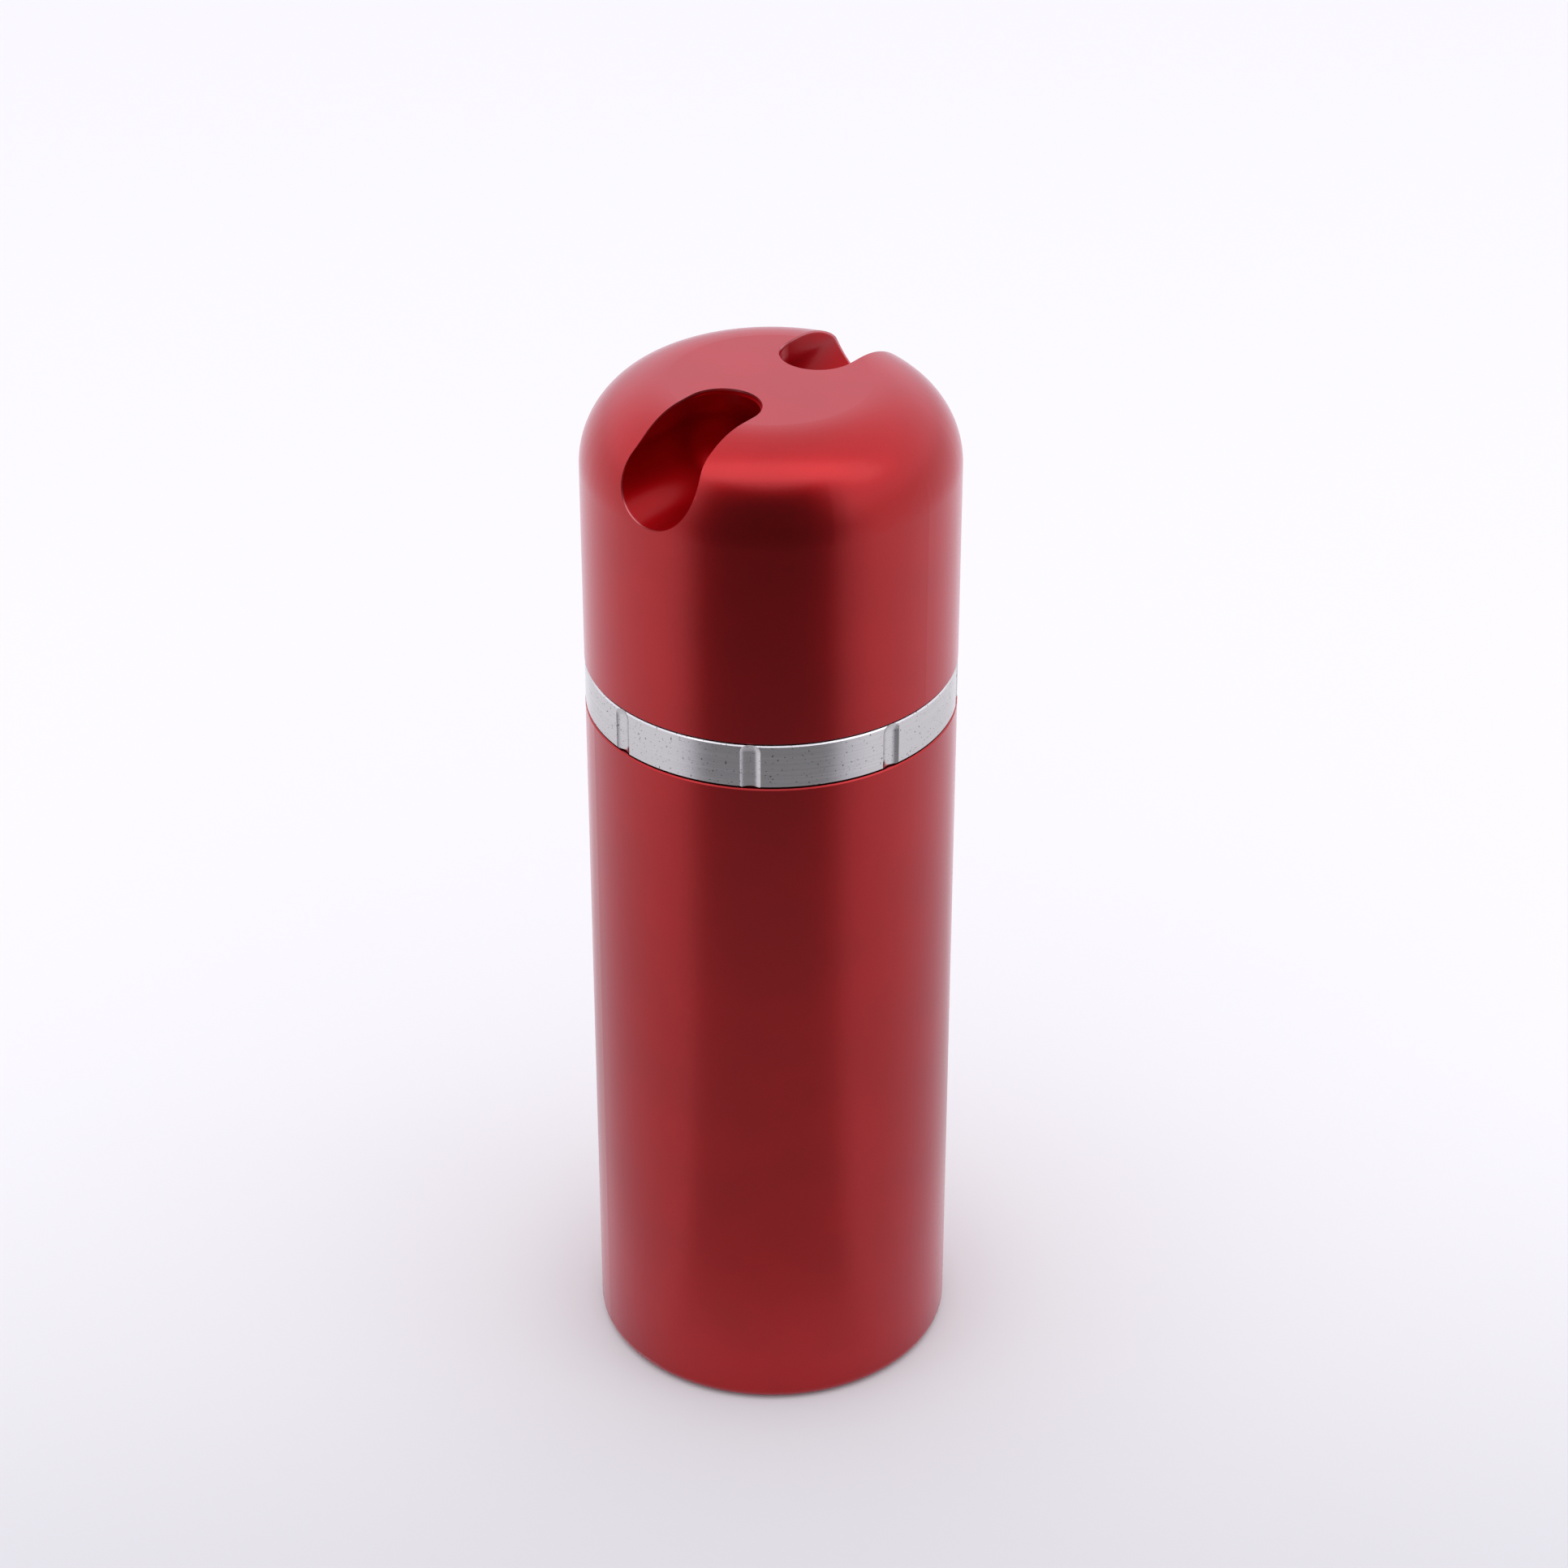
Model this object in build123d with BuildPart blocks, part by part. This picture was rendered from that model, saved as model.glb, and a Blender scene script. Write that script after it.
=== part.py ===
from build123d import *
from math import atan2, degrees, sqrt
import os

# Screw-top pocket canister, in millimetres. The Z axis is the canister's own axis and its base stands on z = 0.
# A red lower shell and a red slotted cap both screw onto a plain aluminium coupling ring.
# One slot of the cap faces -Y and the other +Y.

os.makedirs("parts", exist_ok=True)

# ---------------------------------------------------------------- driving dimensions
outer_diameter = 30.0
lower_shell_height = 61.0
ring_height = 4.0
cap_height = 24.0

# shells
shoulder_radius = 7.0           # rounded top edge of the cap
base_edge_radius = 1.0          # rounded bottom edge of the lower shell
mouth_chamfer = 0.1             # broken edges where the shells meet the ring
chamber_wall = 4.0              # wall beside the chambers, past the threads
floor_thickness = 3.0
chamber_corner_radius = 1.0
slot_floor_thickness = 2.1      # metal left between the slots and the inside of the cap

# cap slots: a round channel that narrows smoothly to a straight mouth
slot_count = 2
slot_first_angle = -90.0        # degrees from +X
slot_mouth_width = 6.2
slot_channel_diameter = 7.0
slot_channel_depth = 3.4        # flat top down to the centre of the channel
slot_neck_radius = 3.0          # rounding between the channel and the mouth's wall
slot_end_offset = 6.2           # canister axis out to the centre of a slot's round inner end
slot_step_depth = 0.35          # shallow step left by the first cut at a slot's inner end
slot_step_length = 0.2

# coupling ring
ring_inset = 0.03               # how far the ring's face lies inside the shells' faces
ring_chamfer = 0.1
ring_seat_width = 0.8           # ring's face in to the seat that a shell's mouth closes on
ring_seat_height = 0.12         # shadow gap left outside the seat, above and below the ring
ring_bore_diameter = 19.0
flute_count = 8
flute_first_angle = 32.0        # degrees from +X
flute_cutter_diameter = 2.6
flute_depth = 0.3
flute_ball_drop = 0.75          # ring's top face down to the centre of the flute's round end

# spigots and seals, measured from the ring's faces
spigot_length = 9.0
spigot_tip_chamfer = 0.6
spigot_bore_chamfer = 0.4
seal_wall = 2.4                 # wall of a shell around the seal
seal_clearance = 0.08
seal_land_length = 3.4
seal_groove_start = 0.9
seal_groove_width = 1.6
seal_groove_depth = 1.2
o_ring_gap = 0.03

# screw threads
thread_pitch = 1.5
thread_depth = 0.7
thread_root_width = 1.1
thread_crest_width = 0.4
thread_step = 0.42              # from the seal land in to the thread's crest
thread_start = 4.2
thread_flank_clearance = 0.12
thread_crest_clearance = 0.15
thread_core_clearance = 0.2
thread_end_clearance = 0.4      # a shell's thread runs this much past the spigot's tip
thread_relief_length = 1.4      # plain groove at the blind end of a shell's thread
groove_start_angle = 250.0      # degrees from the blank's seam at +X, where its cut would fail
seal_bore_extra = 0.2           # a shell's seal bore runs this much past the land

# soft discs
liner_thickness = 1.2
liner_side_clearance = 0.2

# ---------------------------------------------------------------- derived sizes
outer_radius = outer_diameter / 2
ring_bottom = lower_shell_height
ring_top = ring_bottom + ring_height
ring_middle = ring_bottom + ring_height / 2
total_height = ring_top + cap_height
ring_radius = outer_radius - ring_inset
ring_seat_radius = ring_radius - ring_seat_width
ring_bore_radius = ring_bore_diameter / 2
chamber_radius = outer_radius - chamber_wall

seal_bore_radius = outer_radius - seal_wall
land_radius = seal_bore_radius - seal_clearance
seal_floor_radius = land_radius - seal_groove_depth
o_ring_section = seal_bore_radius - seal_floor_radius - 2 * o_ring_gap
o_ring_height = seal_groove_start + seal_groove_width / 2

thread_crest_radius = land_radius - thread_step
thread_core_radius = thread_crest_radius - thread_depth
thread_buried_radius = thread_core_radius - thread_core_clearance
shell_thread_radius = thread_core_radius + thread_core_clearance
shell_groove_radius = thread_crest_radius + thread_crest_clearance
shell_relief_radius = shell_groove_radius + thread_crest_clearance
seal_bore_depth = seal_land_length + seal_bore_extra
shell_thread_end = spigot_length + thread_end_clearance
shell_relief_end = shell_thread_end + thread_relief_length

slot_mouth_radius = slot_mouth_width / 2
slot_channel_radius = slot_channel_diameter / 2
slot_channel_z = total_height - slot_channel_depth
slot_neck_x = slot_mouth_radius + slot_neck_radius
slot_neck_z = slot_channel_z + sqrt((slot_channel_radius + slot_neck_radius) ** 2 - slot_neck_x**2)
slot_neck_angle = degrees(atan2(slot_neck_z - slot_channel_z, slot_neck_x))
slot_reach = outer_radius
cap_ceiling_z = slot_channel_z - slot_channel_radius - slot_floor_thickness
liner_radius = chamber_radius - chamber_corner_radius - liner_side_clearance


# ---------------------------------------------------------------- threads
def helical_bar(from_z, to_z, inner_radius, outer_bar_radius, flank_clearance):
    """A right-handed bar of trapezium section wound about Z from +X at from_z up to to_z.

    Its flanks are those of the spigot thread, each moved out by flank_clearance.
    """
    taper = (thread_root_width - thread_crest_width) / thread_depth
    inner_width = thread_root_width + taper * (thread_core_radius - inner_radius)
    outer_width = thread_root_width + taper * (thread_core_radius - outer_bar_radius)
    inner_half = inner_width / 2 + flank_clearance
    outer_half = outer_width / 2 + flank_clearance
    with BuildPart() as bar:
        with BuildLine() as path:
            Helix(thread_pitch, to_z - from_z, thread_core_radius, center=(0, 0, from_z))
        with BuildSketch(Plane.XZ):
            with BuildLine():
                Polyline(
                    (inner_radius, from_z - inner_half),
                    (outer_bar_radius, from_z - outer_half),
                    (outer_bar_radius, from_z + outer_half),
                    (inner_radius, from_z + inner_half),
                    close=True,
                )
            make_face()
        sweep(path=path.line, is_frenet=True)
    return bar.part


def in_step(part, from_z, crossing_z):
    """Turns a threaded part about Z, so that a thread that leaves +X at from_z crosses +X at crossing_z."""
    return part.rotate(Axis.Z, 360 * (from_z - crossing_z) / thread_pitch)


def spigot_thread(face_z, direction):
    """The raised thread of one spigot, turned down to a 45 degree cone where it starts and ends."""
    low, high = sorted((face_z + direction * thread_start, face_z + direction * spigot_length))
    overrun = thread_pitch / 2
    clear_radius = thread_crest_radius + thread_depth
    cone_height = spigot_tip_chamfer + clear_radius - thread_crest_radius
    with BuildPart() as thread:
        add(helical_bar(low - overrun, high + overrun, thread_buried_radius, thread_crest_radius, 0))
        with BuildSketch(Plane.XZ):
            with BuildLine():
                Polyline(
                    (ring_bore_radius, low),
                    (thread_crest_radius - spigot_tip_chamfer, low),
                    (clear_radius, low + cone_height),
                    (clear_radius, high - cone_height),
                    (thread_crest_radius - spigot_tip_chamfer, high),
                    (ring_bore_radius, high),
                    close=True,
                )
            make_face()
        revolve(axis=Axis.Z, mode=Mode.INTERSECT)
    return in_step(thread.part, low - overrun, ring_bottom)


def shell_bore(end_z):
    """The turned inside of a shell whose mouth is at z = 0: seal bore, lead-in cone, thread bore, relief, chamber."""
    thread_start_z = seal_bore_depth + seal_bore_radius - shell_thread_radius
    with BuildPart() as bore:
        with BuildSketch(Plane.XZ):
            with BuildLine():
                Polyline(
                    (0, 0),
                    (seal_bore_radius, 0),
                    (seal_bore_radius, seal_bore_depth),
                    (shell_thread_radius, thread_start_z),
                    (shell_thread_radius, shell_thread_end),
                    (shell_relief_radius, shell_thread_end),
                    (shell_relief_radius, shell_relief_end),
                    (chamber_radius, shell_relief_end),
                    (chamber_radius, end_z),
                    (0, end_z),
                    close=True,
                )
            make_face()
        revolve(axis=Axis.Z)
        end_circles = bore.edges().filter_by(GeomType.CIRCLE).sort_by(Axis.Z)
        fillet(end_circles[-1], chamber_corner_radius)
    return bore.part


def threaded_shell(height, closed_edge_radius, bore_end_z, crossing_z):
    """A shell as it leaves the lathe, mouth down at z = 0, turned so that its thread crosses +X at crossing_z."""
    groove_start = seal_bore_depth - thread_root_width / 2
    groove_end = shell_thread_end + thread_relief_length / 2
    groove = helical_bar(groove_start, groove_end, thread_buried_radius, shell_groove_radius, thread_flank_clearance)
    with BuildPart() as shell:
        with BuildSketch():
            Circle(outer_radius)
        extrude(amount=height)
        rims = shell.edges().filter_by(GeomType.CIRCLE).sort_by(Axis.Z)
        fillet(rims[-1], closed_edge_radius)
        chamfer(rims[0], mouth_chamfer)
        add(shell_bore(bore_end_z), mode=Mode.SUBTRACT)
        add(groove.rotate(Axis.Z, groove_start_angle), mode=Mode.SUBTRACT)
    return in_step(shell.part.rotate(Axis.Z, -groove_start_angle), groove_start, crossing_z)


# ---------------------------------------------------------------- lower shell
with BuildPart() as lower_shell:
    with Locations((0, 0, lower_shell_height)):
        add(
            threaded_shell(lower_shell_height, base_edge_radius, lower_shell_height - floor_thickness, 0),
            rotation=(180, 0, 0),
        )

lower_shell.part.label = "lower_shell"
export_step(lower_shell.part, "parts/lower_shell.step")

# ---------------------------------------------------------------- cap shell
with BuildPart() as slot_cut:
    # one slot along +X: the section carried straight out, turned about its inner end's centre, and the step
    with BuildSketch(Plane.YZ.offset(slot_end_offset)) as slot_half:
        with BuildLine():
            CenterArc((0, slot_channel_z), slot_channel_radius, -90, 90 + slot_neck_angle)
            CenterArc((slot_neck_x, slot_neck_z), slot_neck_radius, 180, slot_neck_angle)
            Polyline(
                (slot_mouth_radius, slot_neck_z),
                (slot_mouth_radius, total_height + slot_channel_depth),
                (0, total_height + slot_channel_depth),
                (0, slot_channel_z - slot_channel_radius),
            )
        make_face()
    revolve(axis=Axis((slot_end_offset, 0, 0), (0, 0, 1)))
    with BuildSketch(Plane.YZ.offset(slot_end_offset)):
        add(slot_half.sketch_local)
        mirror(about=Plane.YZ)
    extrude(amount=slot_reach)
    with BuildSketch(Plane.XY.offset(total_height - slot_step_depth)):
        with Locations((slot_end_offset - slot_step_length, 0)):
            Circle(slot_mouth_radius)
    extrude(amount=2 * slot_step_depth)

with BuildPart() as cap_shell:
    with Locations((0, 0, ring_top)):
        add(threaded_shell(cap_height, shoulder_radius, cap_ceiling_z - ring_top, -ring_height))
    with PolarLocations(0, slot_count, start_angle=slot_first_angle):
        add(slot_cut.part, mode=Mode.SUBTRACT)

cap_shell.part.label = "cap_shell"
export_step(cap_shell.part, "parts/cap_shell.step")

# ---------------------------------------------------------------- coupling ring
with BuildPart() as flute_cut:
    # one upright ball-ended cutter path outside the ring at +X
    flute_radius = flute_cutter_diameter / 2
    flute_axis = ring_radius + flute_radius - flute_depth
    flute_end_z = ring_top - flute_ball_drop
    with BuildSketch(Plane.XY.offset(ring_bottom - flute_radius)):
        with Locations((flute_axis, 0)):
            Circle(flute_radius)
    extrude(amount=flute_end_z - ring_bottom + flute_radius)
    with Locations((flute_axis, 0, flute_end_z)):
        Sphere(flute_radius)

with BuildPart() as coupling_ring:
    half = ring_height / 2
    rim = half - ring_seat_height
    tip = half + spigot_length
    with BuildSketch(Plane.XZ):
        with BuildLine():
            Polyline(
                (ring_bore_radius, ring_middle),
                (ring_radius, ring_middle),
                (ring_radius, ring_middle + rim - ring_chamfer),
                (ring_radius - ring_chamfer, ring_middle + rim),
                (ring_seat_radius, ring_middle + rim),
                (ring_seat_radius, ring_middle + half),
                (land_radius, ring_middle + half),
                (land_radius, ring_middle + half + seal_groove_start),
                (seal_floor_radius, ring_middle + half + seal_groove_start),
                (seal_floor_radius, ring_middle + half + seal_groove_start + seal_groove_width),
                (land_radius, ring_middle + half + seal_groove_start + seal_groove_width),
                (land_radius, ring_middle + half + seal_land_length),
                (thread_core_radius, ring_middle + half + seal_land_length),
                (thread_core_radius, ring_middle + tip - spigot_bore_chamfer),
                (thread_core_radius - spigot_bore_chamfer, ring_middle + tip),
                (ring_bore_radius + spigot_bore_chamfer, ring_middle + tip),
                (ring_bore_radius, ring_middle + tip - spigot_bore_chamfer),
                close=True,
            )
        make_face()
    revolve(axis=Axis.Z)
    mirror(about=Plane.XY.offset(ring_middle))
    with PolarLocations(0, flute_count, start_angle=flute_first_angle):
        add(flute_cut.part, mode=Mode.SUBTRACT)
    add(spigot_thread(ring_top, 1))
    add(spigot_thread(ring_bottom, -1))

coupling_ring.part.label = "coupling_ring"
export_step(coupling_ring.part, "parts/coupling_ring.step")

# ---------------------------------------------------------------- O-rings
o_ring_major = seal_floor_radius + o_ring_gap + o_ring_section / 2

with BuildPart() as cap_o_ring:
    with Locations((0, 0, ring_top + o_ring_height)):
        Torus(o_ring_major, o_ring_section / 2)

cap_o_ring.part.label = "cap_o_ring"
export_step(cap_o_ring.part, "parts/cap_o_ring.step")

with BuildPart() as body_o_ring:
    with Locations((0, 0, ring_bottom - o_ring_height)):
        Torus(o_ring_major, o_ring_section / 2)

body_o_ring.part.label = "body_o_ring"
export_step(body_o_ring.part, "parts/body_o_ring.step")

# ---------------------------------------------------------------- liners
with BuildPart() as cap_liner:
    with BuildSketch(Plane.XY.offset(cap_ceiling_z - liner_thickness)):
        Circle(liner_radius)
    extrude(amount=liner_thickness)

cap_liner.part.label = "cap_liner"
export_step(cap_liner.part, "parts/cap_liner.step")

with BuildPart() as base_liner:
    with BuildSketch(Plane.XY.offset(floor_thickness)):
        Circle(liner_radius)
    extrude(amount=liner_thickness)

base_liner.part.label = "base_liner"
export_step(base_liner.part, "parts/base_liner.step")
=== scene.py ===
# %% [markdown]
# # A slotted screw-top canister in red anodised aluminium
# The canister is a slim turned tube in three metal pieces: a long lower shell, a plain
# aluminium coupling ring that reaches into both its neighbours, and a cap with two slots cut
# through its rounded top. Every piece comes from the CAD model, so this lesson makes no
# new shape for the object. It is about finish: how anodised metal, turned metal, rubber
# and foam are described with nodes, and how a small white set makes metal look like metal.

import math

import bpy
import numpy as np
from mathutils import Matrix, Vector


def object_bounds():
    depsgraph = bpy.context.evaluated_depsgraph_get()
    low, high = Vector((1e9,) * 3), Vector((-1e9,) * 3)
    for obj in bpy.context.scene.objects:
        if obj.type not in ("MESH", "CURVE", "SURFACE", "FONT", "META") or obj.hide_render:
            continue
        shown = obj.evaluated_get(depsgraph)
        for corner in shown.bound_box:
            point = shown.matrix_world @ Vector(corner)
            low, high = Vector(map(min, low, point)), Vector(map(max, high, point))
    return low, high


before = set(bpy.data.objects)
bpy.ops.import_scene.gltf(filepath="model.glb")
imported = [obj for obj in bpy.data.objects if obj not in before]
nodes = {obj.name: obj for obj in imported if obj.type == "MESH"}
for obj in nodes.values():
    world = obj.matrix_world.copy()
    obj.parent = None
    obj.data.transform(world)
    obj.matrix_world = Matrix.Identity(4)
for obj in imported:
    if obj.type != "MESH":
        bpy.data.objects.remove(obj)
cad_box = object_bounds()
MM = 0.001

canister_low, canister_high = cad_box
canister_height = canister_high[2] - canister_low[2]
canister_radius = (canister_high[0] - canister_low[0]) / 2
print("pieces:", ", ".join(sorted(nodes)))
print(f"height {canister_height / MM:.1f} mm, radius {canister_radius / MM:.1f} mm")

# %% [markdown]
# ## The camera
# A long lens close to a small object keeps its sides nearly parallel and still shows the
# top. The camera stands to the right of the front slot and looks down, so that both slots,
# the ring and the whole lower shell show. Its place is worked out from one turn around the
# canister's axis, a distance and a height. The colours go to the screen without a film
# curve, because a white set with a red object needs its reds unchanged.

# %% Place the camera
CAMERA_TURN = math.radians(38.14)
CAMERA_DISTANCE = 287.8 * MM
CAMERA_HEIGHT = 227.6 * MM
CAMERA_SIDESTEP = 1.02 * MM
LOOK_DOWN = math.radians(31.33)
LENS_MM = 94.55

away = np.array([math.sin(CAMERA_TURN), -math.cos(CAMERA_TURN), 0.0])
sideways = np.array([math.cos(CAMERA_TURN), math.sin(CAMERA_TURN), 0.0])

camera_data = bpy.data.cameras.new("camera")
camera_data.lens = LENS_MM
camera_data.sensor_width = 36.0
camera_data.clip_start = 0.01
camera = bpy.data.objects.new("camera", camera_data)
camera.location = away * CAMERA_DISTANCE + sideways * CAMERA_SIDESTEP
camera.location.z = CAMERA_HEIGHT
camera.rotation_euler = (math.pi / 2 - LOOK_DOWN, 0.0, CAMERA_TURN)
bpy.context.scene.collection.objects.link(camera)
bpy.context.scene.camera = camera
bpy.context.scene.view_settings.view_transform = "Standard"
print("camera at", [round(v / MM) for v in camera.location], "mm")

# %% [markdown]
# ## Small helpers for nodes
# A material in Blender is a graph: values flow along links into a shader. Writing such a
# graph out node by node is long, so a few short helpers keep the recipes readable: one adds
# a node and sets what it needs, and the others do arithmetic, fade between two limits, make
# noise, blend colours, stretch a pattern, raise a bump and dress the pieces.

# %% Node helpers


def add_node(tree, kind, links=None, **settings):
    """Adds a node, sets its properties, and feeds its sockets.

    A value in links that is an output socket is linked; any other value is set directly."""
    node = tree.nodes.new(kind)
    for name, value in settings.items():
        setattr(node, name, value)
    for socket, value in (links or {}).items():
        if isinstance(value, bpy.types.NodeSocket):
            tree.links.new(value, node.inputs[socket])
        else:
            node.inputs[socket].default_value = value
    return node


def arithmetic(tree, operation, first, second=0.0):
    """first (operation) second, for sockets or plain numbers."""
    node = add_node(tree, "ShaderNodeMath", {0: first, 1: second}, operation=operation)
    return node.outputs[0]


def fade(tree, value, start, end):
    """0 where value is at start, 1 where it is at end, with a smooth S between them."""
    node = add_node(
        tree,
        "ShaderNodeMapRange",
        {"Value": value, "From Min": start, "From Max": end},
        interpolation_type="SMOOTHSTEP",
    )
    return node.outputs["Result"]


def between(tree, value, low, high):
    """low where value is 0, high where it is 1, in a straight line between them."""
    node = add_node(tree, "ShaderNodeMapRange", {"Value": value, "To Min": low, "To Max": high})
    return node.outputs["Result"]


def noise(tree, vector, per_metre, detail=2.0):
    """Cloudy noise from 0 to 1 with about per_metre cells to the metre."""
    node = add_node(
        tree,
        "ShaderNodeTexNoise",
        {"Vector": vector, "Scale": per_metre, "Detail": detail},
    )
    return node.outputs["Fac"]


def blend_colours(tree, amount, first, second):
    """first where amount is 0, second where it is 1."""
    node = add_node(
        tree, "ShaderNodeMix", {"Factor": amount}, data_type="RGBA"
    )
    for socket, colour in ((node.inputs[6], first), (node.inputs[7], second)):
        if isinstance(colour, bpy.types.NodeSocket):
            tree.links.new(colour, socket)
        else:
            socket.default_value = (*colour, 1.0)
    return node.outputs[2]


def start_material(name):
    """A new material with its tree, its one shader, and the piece's own coordinates."""
    material = bpy.data.materials.new(name)
    material.use_nodes = True
    tree = material.node_tree
    shader = tree.nodes["Principled BSDF"]
    place = tree.nodes.new("ShaderNodeTexCoord").outputs["Object"]
    return material, tree, shader, place


def stretch(tree, vector, scale):
    """The coordinates multiplied by scale along x, y and z."""
    node = add_node(tree, "ShaderNodeMapping", {"Vector": vector, "Scale": scale})
    return node.outputs["Vector"]


def set_bump(tree, shader, height, depth):
    """Raises the surface by up to depth metres where height is 1."""
    bump = add_node(
        tree, "ShaderNodeBump", {"Height": height, "Distance": depth, "Strength": 1.0}
    )
    tree.links.new(bump.outputs["Normal"], shader.inputs["Normal"])


def give(names, material):
    """Puts the material into every slot of the CAD pieces named."""
    for name in names:
        slots = nodes[name].data.materials
        if not slots:
            slots.append(material)
        for index in range(len(slots)):
            slots[index] = material
    print(material.name, "on", ", ".join(names))


# %% [markdown]
# ## Red anodised aluminium
# The shells are turned from aluminium bar, blasted with fine glass beads until they are
# satin, and anodised. Anodising grows a clear, glassy oxide that holds red dye: light goes
# through it, meets the metal, and comes back red, while a little is reflected white from
# the oxide's own surface. Paint would look chalky and bare tinted metal would look dry, so
# the shader is a red metal with a clear coat over it. Blasting shows as a fine grain in the
# surface, and the slot walls, cut with a round cutter that travels inwards, keep faint
# upright tool marks, stay rougher and take a thinner oxide. Along the slots' rims a thin
# pale pink band is a painted highlight, where light catches the edges.

# %% Measure how deep a point lies under the cap's outer skin
SHOULDER_RADIUS = 7 * MM

shoulder_centre_radius = canister_radius - SHOULDER_RADIUS
shoulder_centre_height = canister_height - SHOULDER_RADIUS


def length_of(tree, first, second):
    """The long side of a right-angled triangle whose short sides are first and second."""
    squares = [arithmetic(tree, "MULTIPLY", side, side) for side in (first, second)]
    return arithmetic(tree, "SQRT", arithmetic(tree, "ADD", *squares))


def depth_under_skin(tree, place):
    """How far inside the cap's rounded outline a point lies, in metres.

    In the half plane through the axis the outline is a flat top and a quarter circle, so
    the distance from the quarter circle's centre, counted only outwards and upwards, is
    taken from the shoulder's radius."""
    axes = add_node(tree, "ShaderNodeSeparateXYZ", {"Vector": place})
    x, y, z = (axes.outputs[i] for i in range(3))
    beyond = arithmetic(tree, "SUBTRACT", length_of(tree, x, y), shoulder_centre_radius)
    above = arithmetic(tree, "SUBTRACT", z, shoulder_centre_height)
    outwards = arithmetic(tree, "MAXIMUM", beyond, 0.0)
    upwards = arithmetic(tree, "MAXIMUM", above, 0.0)
    return arithmetic(tree, "SUBTRACT", SHOULDER_RADIUS, length_of(tree, outwards, upwards))


print(f"shoulder circle centred {shoulder_centre_radius / MM:.1f} mm from the axis")

# %% Make the red anodised finish
DYED_RED = (0.41, 0.0015, 0.004)
DEEP_RED = (0.35, 0.001, 0.003)
# Pale pink for a painted highlight along the slot rims.
RIM_HIGHLIGHT_PINK = (0.78, 0.30, 0.33)
GRAZING_PINK = (1.0, 0.6, 0.7, 1.0)
GRAINS_PER_METRE = 9000.0
DRIFTS_PER_METRE = 160.0
GRAIN_DEPTH = 0.0035 * MM
BLASTED_ROUGHNESS = (0.31, 0.37)
OXIDE_IOR = 1.39
OXIDE_ROUGHNESS = 0.22
SLOT_OXIDE = 0.35
SLOT_ROUGHNESS = 0.16
TOOL_MARKS_PER_METRE = (3200.0, 3200.0, 120.0)
RIM_HIGHLIGHT_STRENGTH = 0.55


def make_red_anodised(name, has_slots):
    """Dyed metal under clear oxide, with a blasted grain; slot walls get tool marks, rims a
    painted highlight.
    """
    material, tree, shader, place = start_material(name)
    shader.inputs["Metallic"].default_value = 1.0
    shader.inputs["Specular Tint"].default_value = GRAZING_PINK
    shader.inputs["Coat Weight"].default_value = 1.0
    shader.inputs["Coat IOR"].default_value = OXIDE_IOR
    shader.inputs["Coat Roughness"].default_value = OXIDE_ROUGHNESS

    grain = noise(tree, place, GRAINS_PER_METRE, detail=3.0)
    drift = noise(tree, place, DRIFTS_PER_METRE)
    patchy = arithmetic(tree, "MULTIPLY", fade(tree, drift, 0.3, 0.7), 0.5)
    speckle = arithmetic(tree, "MULTIPLY", fade(tree, grain, 0.35, 0.65), 0.5)
    amount = arithmetic(tree, "ADD", patchy, speckle)
    colour = blend_colours(tree, amount, DEEP_RED, DYED_RED)
    roughness = between(tree, fade(tree, grain, 0.3, 0.7), *BLASTED_ROUGHNESS)
    height = grain

    if has_slots:
        depth = depth_under_skin(tree, place)
        inside = fade(tree, depth, 0.06 * MM, 0.3 * MM)
        # A thin band just inside the slots' rims is tinted pink: a painted highlight where
        # light catches the edges.
        rim_begins = fade(tree, depth, 0.02 * MM, 0.04 * MM)
        rim_ends = fade(tree, depth, 0.20 * MM, 0.08 * MM)
        rim = arithmetic(tree, "MULTIPLY", rim_begins, rim_ends)
        rim_highlight = arithmetic(tree, "MULTIPLY", rim, RIM_HIGHLIGHT_STRENGTH)
        colour = blend_colours(tree, rim_highlight, colour, RIM_HIGHLIGHT_PINK)

        marks = noise(tree, stretch(tree, place, TOOL_MARKS_PER_METRE), 1.0)
        marks_inside = arithmetic(tree, "MULTIPLY", marks, inside)
        height = arithmetic(tree, "ADD", height, marks_inside)
        rougher = arithmetic(tree, "MULTIPLY", inside, SLOT_ROUGHNESS)
        roughness = arithmetic(tree, "ADD", roughness, rougher)
        oxide = between(tree, inside, 1.0, SLOT_OXIDE)
        tree.links.new(oxide, shader.inputs["Coat Weight"])

    tree.links.new(colour, shader.inputs["Base Color"])
    tree.links.new(roughness, shader.inputs["Roughness"])
    set_bump(tree, shader, height, GRAIN_DEPTH)
    return material


give(["cap_shell"], make_red_anodised("red anodised, slotted", has_slots=True))
give(["lower_shell"], make_red_anodised("red anodised", has_slots=False))

# %% [markdown]
# ## Turned aluminium
# The ring is left as it came off the lathe: the tool leaves hair-fine grooves that run
# round it, so the noise is squeezed along the axis and drawn out around it. The cast-in
# specks of the alloy show as tiny dark pits. Grooves in the bump alone would vanish at a
# distance, so they also vary the roughness and the brightness a little.

# %% Make the turned aluminium finish
BRIGHT_ALUMINIUM = (0.66, 0.65, 0.66)
DULL_ALUMINIUM = (0.58, 0.57, 0.585)
PIT_GREY = (0.16, 0.155, 0.16)
GROOVES_PER_METRE = (60.0, 60.0, 14000.0)
PITS_PER_METRE = 5200.0
GROOVE_DEPTH = 0.0005 * MM
TURNED_ROUGHNESS = (0.17, 0.22)


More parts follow.
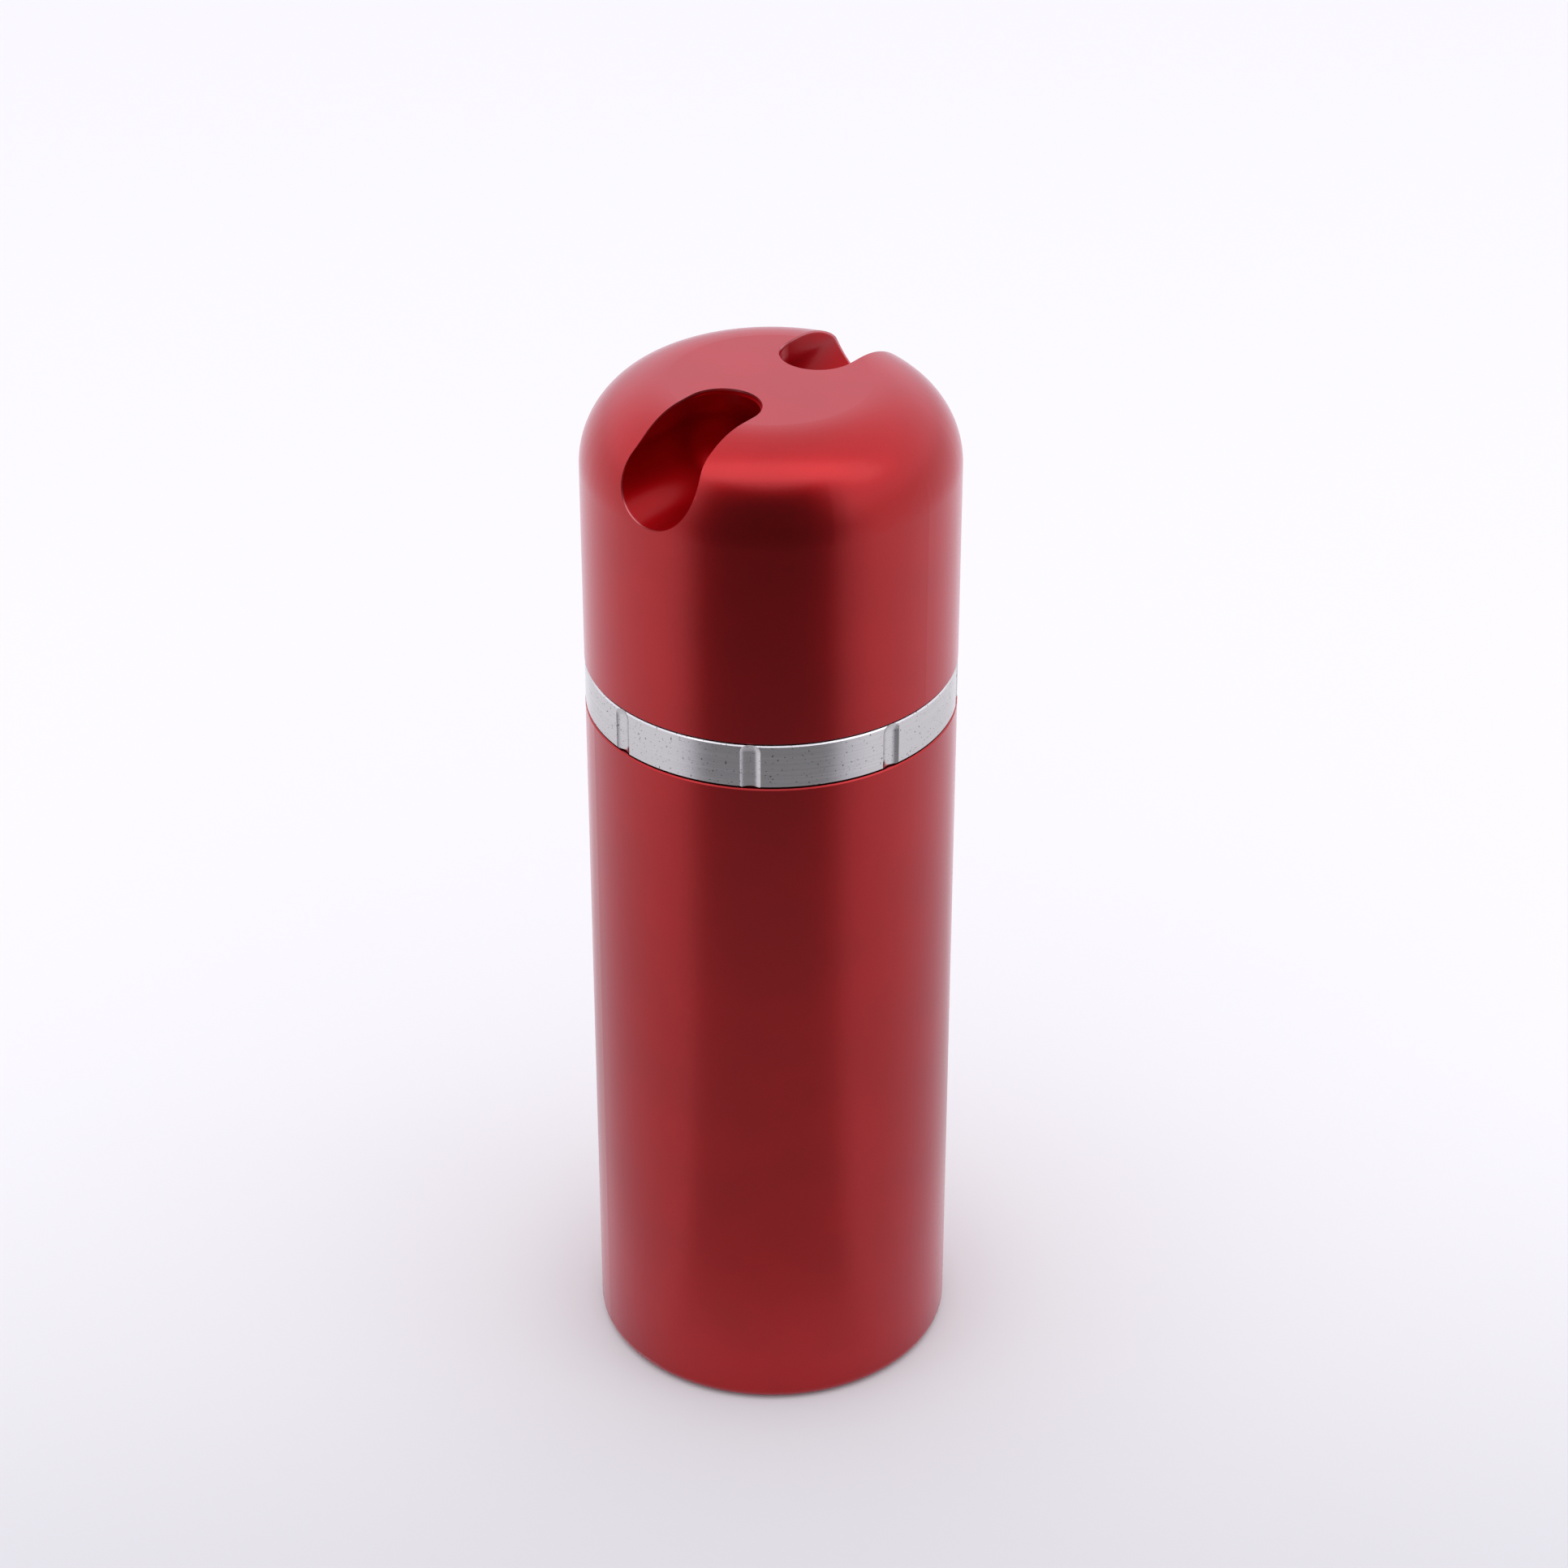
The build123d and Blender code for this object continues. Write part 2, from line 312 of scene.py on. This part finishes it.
def make_turned_aluminium():
    """Bare metal with grooves around the axis and a scatter of dark pits."""
    material, tree, shader, place = start_material("turned aluminium")
    shader.inputs["Metallic"].default_value = 1.0
    grooves = noise(tree, stretch(tree, place, GROOVES_PER_METRE), 1.0, detail=3.0)
    specks = noise(tree, place, PITS_PER_METRE, detail=1.0)
    pits = fade(tree, specks, 0.67, 0.74)
    shine = fade(tree, grooves, 0.25, 0.75)
    metal = blend_colours(tree, shine, DULL_ALUMINIUM, BRIGHT_ALUMINIUM)
    colour = blend_colours(tree, pits, metal, PIT_GREY)
    roughness = between(tree, fade(tree, grooves, 0.3, 0.7), *TURNED_ROUGHNESS)
    height = arithmetic(tree, "SUBTRACT", grooves, pits)
    tree.links.new(colour, shader.inputs["Base Color"])
    tree.links.new(roughness, shader.inputs["Roughness"])
    set_bump(tree, shader, height, GROOVE_DEPTH)
    return material


give(["coupling_ring"], make_turned_aluminium())

# %% [markdown]
# ## Rubber and foam
# The two seals are moulded nitrile rubber: nearly black, a little glossy, with a faint
# bloom. The liners are discs of closed-cell foam, matt and dark, whose cut cells show as
# small round dents. A cell pattern (Voronoi) gives the foam its dents and paints shade
# into their bottoms; the seals need only a soft change of roughness.

# %% Make the rubber and the foam finish
RUBBER_BLACK = (0.012, 0.012, 0.013)
RUBBER_BLOOM = (0.03, 0.03, 0.032)
BLOOMS_PER_METRE = 900.0
RUBBER_ROUGHNESS = (0.32, 0.52)
RUBBER_GRAINS_PER_METRE = 6000.0
RUBBER_GRAIN_DEPTH = 0.004 * MM
# Darkest foam colour, painted into the bottom of each dent as shade.
FOAM_DENT_SHADE = (0.02, 0.02, 0.022)
FOAM_GREY = (0.07, 0.07, 0.075)
FOAM_CELLS_PER_METRE = 3000.0
FOAM_DENT_DEPTH = 0.05 * MM
FOAM_ROUGHNESS = 0.85


def make_seal_rubber():
    """Nearly black rubber whose gloss varies softly."""
    material, tree, shader, place = start_material("nitrile rubber")
    bloom = noise(tree, place, BLOOMS_PER_METRE)
    colour = blend_colours(tree, bloom, RUBBER_BLACK, RUBBER_BLOOM)
    tree.links.new(colour, shader.inputs["Base Color"])
    tree.links.new(between(tree, bloom, *RUBBER_ROUGHNESS), shader.inputs["Roughness"])
    set_bump(tree, shader, noise(tree, place, RUBBER_GRAINS_PER_METRE), RUBBER_GRAIN_DEPTH)
    return material


def make_liner_foam():
    """Matt dark foam with cut cells about a third of a millimetre across, painted darker in the
    dents as shade.
    """
    material, tree, shader, place = start_material("closed-cell foam")
    settings = {"Vector": place, "Scale": FOAM_CELLS_PER_METRE}
    cells = add_node(tree, "ShaderNodeTexVoronoi", settings).outputs["Distance"]
    dents_and_shade = fade(tree, cells, 0.1, 0.6)
    # The same pattern darkens each dent towards its bottom: painted shade in the foam's dents.
    colour = blend_colours(tree, dents_and_shade, FOAM_DENT_SHADE, FOAM_GREY)
    tree.links.new(colour, shader.inputs["Base Color"])
    shader.inputs["Roughness"].default_value = FOAM_ROUGHNESS
    set_bump(tree, shader, dents_and_shade, FOAM_DENT_DEPTH)
    return material


give(["cap_o_ring", "body_o_ring"], make_seal_rubber())
give(["cap_liner", "base_liner"], make_liner_foam())

# %% [markdown]
# ## The floor
# The canister stands on white paper that reaches well past the picture. The paper is a
# wide disc made with numpy: rings that spread outwards, closed at the centre. It lies a
# hair below the base, so that the two faces never fight for the same place. The paper's
# colour is painted darker towards the front, as painted shade for light falling off
# when it stands behind.

# %% Make the floor


def surface_from_grid(name, points, extra=None):
    """A mesh from a grid of points: neighbours in both directions are joined by quads.

    extra holds values for each point, stored as attributes that a material can read."""
    rows, columns = points.shape[:2]
    index = np.arange(rows * columns).reshape(rows, columns)
    quads = np.stack(
        [index[:-1, :-1], index[:-1, 1:], index[1:, 1:], index[1:, :-1]], axis=-1
    )
    mesh = bpy.data.meshes.new(name)
    mesh.from_pydata(points.reshape(-1, 3).tolist(), [], quads.reshape(-1, 4).tolist())
    for attribute, values in (extra or {}).items():
        layer = mesh.attributes.new(attribute, "FLOAT", "POINT")
        layer.data.foreach_set("value", values.astype(np.float32).ravel())
    mesh.update()
    thing = bpy.data.objects.new(name, mesh)
    bpy.context.scene.collection.objects.link(thing)
    return thing


FLOOR_RADIUS = 2.0
FLOOR_DROP = 0.02 * MM
FLOOR_RINGS = 24
FLOOR_SPOKES = 65
PAPER_WHITE = (0.732, 0.729, 0.73)
# Darker paper colour at the front: painted shade where the light falls off.
PAPER_FRONT_SHADE = (0.52, 0.517, 0.525)
SHADE_FROM = -40 * MM
SHADE_TO = 90 * MM

floor_radii = FLOOR_RADIUS * np.linspace(0.0, 1.0, FLOOR_RINGS) ** 2
spoke_turns = np.linspace(0.0, 2 * math.pi, FLOOR_SPOKES)
radius_grid, turn_grid = np.meshgrid(floor_radii, spoke_turns, indexing="ij")
floor_points = np.stack(
    [
        radius_grid * np.cos(turn_grid),
        radius_grid * np.sin(turn_grid),
        np.full_like(radius_grid, -FLOOR_DROP),
    ],
    axis=-1,
)
floor = surface_from_grid("paper floor", floor_points)


def make_paper():
    """White paper, painted darker towards the front as shade."""
    material, tree, shader, place = start_material("white paper")
    along_front = add_node(
        tree,
        "ShaderNodeVectorMath",
        {0: place, 1: tuple(away)},
        operation="DOT_PRODUCT",
    )
    # The paper colour darkens towards the front: painted shade for the light falling off.
    painted_shade = fade(tree, along_front.outputs["Value"], SHADE_FROM, SHADE_TO)
    colour = blend_colours(tree, painted_shade, PAPER_WHITE, PAPER_FRONT_SHADE)
    tree.links.new(colour, shader.inputs["Base Color"])
    shader.inputs["Roughness"].default_value = 0.9
    shader.inputs["Specular IOR Level"].default_value = 0.1
    return material


floor.data.materials.append(make_paper())
print("floor of", len(floor.data.polygons), "faces")

# %% [markdown]
# ## The light
# Metal shows its surroundings, so the surroundings are the light. The set is a white tent:
# the world is a soft white that grows brighter with height, and one wide soft panel hangs
# overhead and lights the rounded shoulder from side to side. Where the camera looks in, a
# sheet with a weak glow stands for the tent's dark opening: as a painted reflection it draws
# the dark band down the front of the canister, and its floor part shows a floor that grows
# darker away from the base. A glowing white card on each side brightens the metal next to
# that band. The dark sheet and the cards are curved screens that only reflections can see,
# so that they neither block the camera nor shade the floor.

# %% Light the world
HORIZON_WHITE = (0.92, 0.91, 0.975)
SKY_WHITE = (1.27, 1.255, 1.35)
SKY_FULL_AT = 0.35

world = bpy.data.worlds.new("white tent")
world.use_nodes = True
bpy.context.scene.world = world
sky = world.node_tree
direction = sky.nodes.new("ShaderNodeTexCoord").outputs["Generated"]
sky_axes = add_node(sky, "ShaderNodeSeparateXYZ", {"Vector": direction})
climb = fade(sky, sky_axes.outputs[2], 0.0, SKY_FULL_AT)
sky_colour = blend_colours(sky, climb, HORIZON_WHITE, SKY_WHITE)
sky.links.new(sky_colour, sky.nodes["Background"].inputs["Color"])
print("world lit")

# %% Hang the soft panel
PANEL_WIDTH = 1.15
PANEL_DEPTH = 0.26
PANEL_HEIGHT = 0.6
PANEL_GLOW = 0.8
PANEL_FORWARDS = 0.17
PANEL_SIDESTEP = 0.16

panel_data = bpy.data.lights.new("soft panel", "AREA")
panel_data.shape = "RECTANGLE"
panel_data.size = PANEL_WIDTH
panel_data.size_y = PANEL_DEPTH
panel_data.energy = PANEL_GLOW * math.pi * PANEL_WIDTH * PANEL_DEPTH
panel = bpy.data.objects.new("soft panel", panel_data)
panel.location = away * PANEL_FORWARDS + sideways * PANEL_SIDESTEP
panel.location.z = PANEL_HEIGHT
panel.rotation_euler = (0.0, 0.0, CAMERA_TURN)
bpy.context.scene.collection.objects.link(panel)
print(f"panel of {panel_data.energy:.2f} W")

# %% Stand a dark glowing sheet in front and a white card on each side
SCREEN_NEAR = 3 * MM
SCREEN_FAR = 160 * MM
GLOW_TURNS_FROM = 45 * MM
GLOW_TURNS_TO = 180 * MM
EDGE_FADE = math.radians(16)
DARK_SHEET_HALF_TURN = math.radians(50)
DARK_SHEET_OFFSET = math.radians(-2.5)
# Near and far glow of the dark sheet: a painted reflection of a floor that darkens away from
# the base.
DARK_SHEET_GLOW = (0.48, 0.11)
DARK_SHEET_TOP = 300 * MM
CARD_TURN = math.radians(100)
CARD_HALF_TURN = math.radians(54)
CARD_GLOW = (0.72, 1.02)
CARD_TOP = 115 * MM
SCREEN_START_FADE = 0.1
SCREEN_TOP_FADE = 0.08
SCREEN_LIFT = 1 * MM


def smooth_step(t):
    """0 below 0, 1 above 1, and a smooth S between them."""
    t = np.clip(t, 0.0, 1.0)
    return t * t * (3 - 2 * t)


def make_screen(name, middle, half_turn, top, glows):
    """A sheet that runs outwards along the floor and then straight up.

    One parameter goes along that L-shaped profile, the other turns it about the axis.
    Its glow turns from the near to the far one along the floor, and it fades out at
    both sides."""
    along = np.linspace(0.0, 2.0, 61)
    turn = np.linspace(-1.0, 1.0, 49)
    along_grid, turn_grid = np.meshgrid(along, turn, indexing="ij")
    outwards = np.clip(along_grid, 0.0, 1.0)
    upwards = np.clip(along_grid - 1.0, 0.0, 1.0)
    reach = canister_radius + SCREEN_NEAR + (SCREEN_FAR - SCREEN_NEAR) * outwards
    angle = CAMERA_TURN + middle + half_turn * turn_grid
    points = np.stack(
        [
            reach * np.sin(angle),
            -reach * np.cos(angle),
            SCREEN_LIFT + (top - SCREEN_LIFT) * upwards,
        ],
        axis=-1,
    )
    near_glow, far_glow = glows
    turned = smooth_step((reach - GLOW_TURNS_FROM) / (GLOW_TURNS_TO - GLOW_TURNS_FROM))
    glow = near_glow + (far_glow - near_glow) * turned
    side = (1 - np.abs(turn_grid)) * half_turn / EDGE_FADE
    cover = smooth_step(side) * smooth_step(along_grid / SCREEN_START_FADE)
    cover = cover * smooth_step((2.0 - along_grid) / SCREEN_TOP_FADE)
    return surface_from_grid(name, points, {"glow": glow, "cover": cover})


def make_screen_glow():
    """A plain glow whose strength and cover come from the sheet's own attributes."""
    material = bpy.data.materials.new("screen glow")
    material.use_nodes = True
    tree = material.node_tree
    tree.nodes.clear()
    glow = add_node(tree, "ShaderNodeAttribute", attribute_name="glow").outputs["Fac"]
    cover = add_node(tree, "ShaderNodeAttribute", attribute_name="cover").outputs["Fac"]
    light = add_node(
        tree,
        "ShaderNodeEmission",
        {"Color": (1.0, 0.98, 1.02, 1.0), "Strength": glow},
    )
    clear = add_node(tree, "ShaderNodeBsdfTransparent")
    mix = add_node(
        tree,
        "ShaderNodeMixShader",
        {0: cover, 1: clear.outputs[0], 2: light.outputs[0]},
    )
    add_node(tree, "ShaderNodeOutputMaterial", {"Surface": mix.outputs[0]})
    return material


# The dark sheet's weak glow is a painted reflection of the dark camera side and the darker
# floor in front; the cards' glow brightens the reflections beside it.
screens = [
    make_screen("dark reflection sheet", DARK_SHEET_OFFSET, DARK_SHEET_HALF_TURN, DARK_SHEET_TOP, DARK_SHEET_GLOW),
    make_screen("left card", -CARD_TURN, CARD_HALF_TURN, CARD_TOP, CARD_GLOW),
    make_screen("right card", CARD_TURN, CARD_HALF_TURN, CARD_TOP, CARD_GLOW),
]
screen_glow = make_screen_glow()
for screen in screens:
    screen.data.materials.append(screen_glow)
    screen.visible_camera = False
    screen.visible_diffuse = False
    screen.visible_shadow = False
print("screens:", ", ".join(screen.name for screen in screens))

# %% [markdown]
# ## Finish
# The last cell only prints that the scene is finished.

# %% Finish
print("scene finished")
